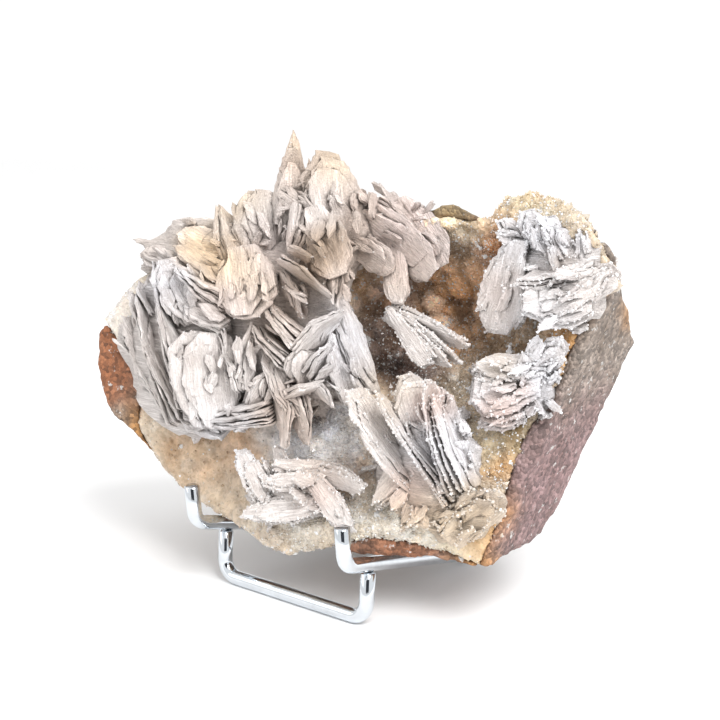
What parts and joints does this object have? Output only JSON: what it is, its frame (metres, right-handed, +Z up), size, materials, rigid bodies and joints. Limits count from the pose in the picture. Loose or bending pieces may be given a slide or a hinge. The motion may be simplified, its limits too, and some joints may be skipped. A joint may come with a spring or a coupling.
{
  "type": "mineral specimen on wire stand",
  "caption": "Display specimen: a broken rock lined with quartz crust around an open vug, covered in clusters of bladed barite crystals, resting in a bent chromed wire stand",
  "frame": {"origin": "middle of the base of the whole object's box, on the table", "axes": "+Z up, -Y the front of the stand (its hooks), +X to the right as seen from the front"},
  "size_m": [0.1496, 0.089, 0.1219],
  "materials": {
    "rock": "rough broken stone",
    "quartz": "sugary druse, glassy",
    "barite": "satin, finely striated",
    "stand": "polished"
  },
  "bodies": {
    "root": {"matrix_rock": "rock", "quartz_crust": "quartz", "barite_main": "barite", "barite_vug_fan": "barite", "barite_front": "barite", "barite_right": "barite", "barite_top_right": "barite", "barite_low": "barite", "stand_cradle": "stand", "stand_front_foot": "stand"}
  },
  "joints": []
}
